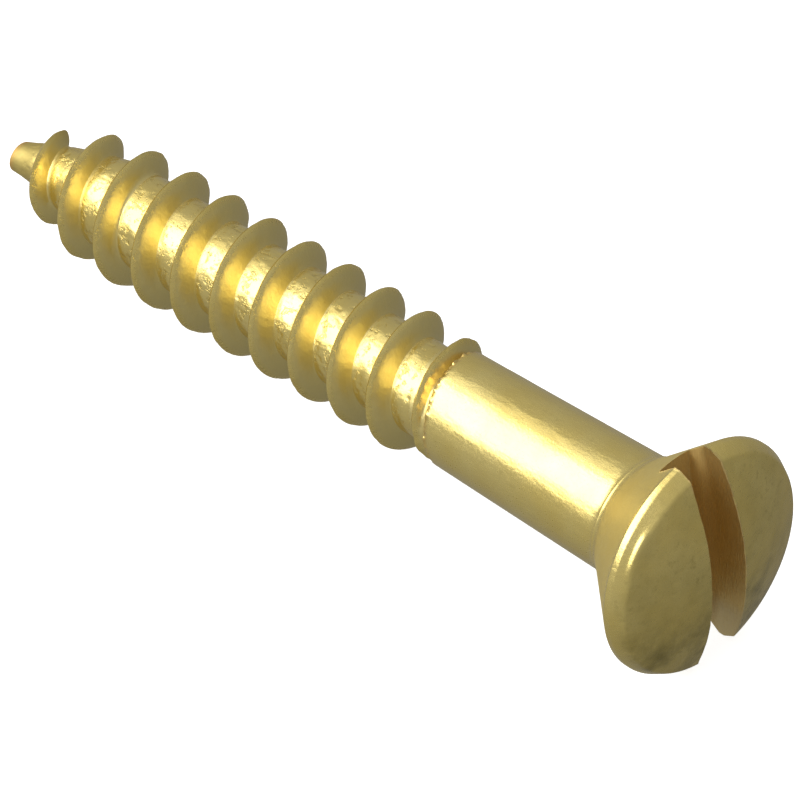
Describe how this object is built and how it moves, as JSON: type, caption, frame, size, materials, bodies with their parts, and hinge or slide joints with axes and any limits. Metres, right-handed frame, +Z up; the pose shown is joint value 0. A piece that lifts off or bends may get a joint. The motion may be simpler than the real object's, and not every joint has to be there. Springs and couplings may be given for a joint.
{
  "type": "wood screw",
  "caption": "Slotted raised countersunk wood screw in brass: domed head, smooth tapered shank, coarse right-hand thread and blunt gimlet point.",
  "frame": {"origin": "on the screw's axis, in the plane where the countersink meets the rim of the head", "axes": "+X along the axis and out of the head, with the tip at -X; the driver slot runs along Z, +Z up"},
  "size_m": [0.0334, 0.009, 0.0088],
  "materials": {
    "brass": "satin"
  },
  "bodies": {
    "root": {"wood_screw": "brass"}
  },
  "joints": []
}
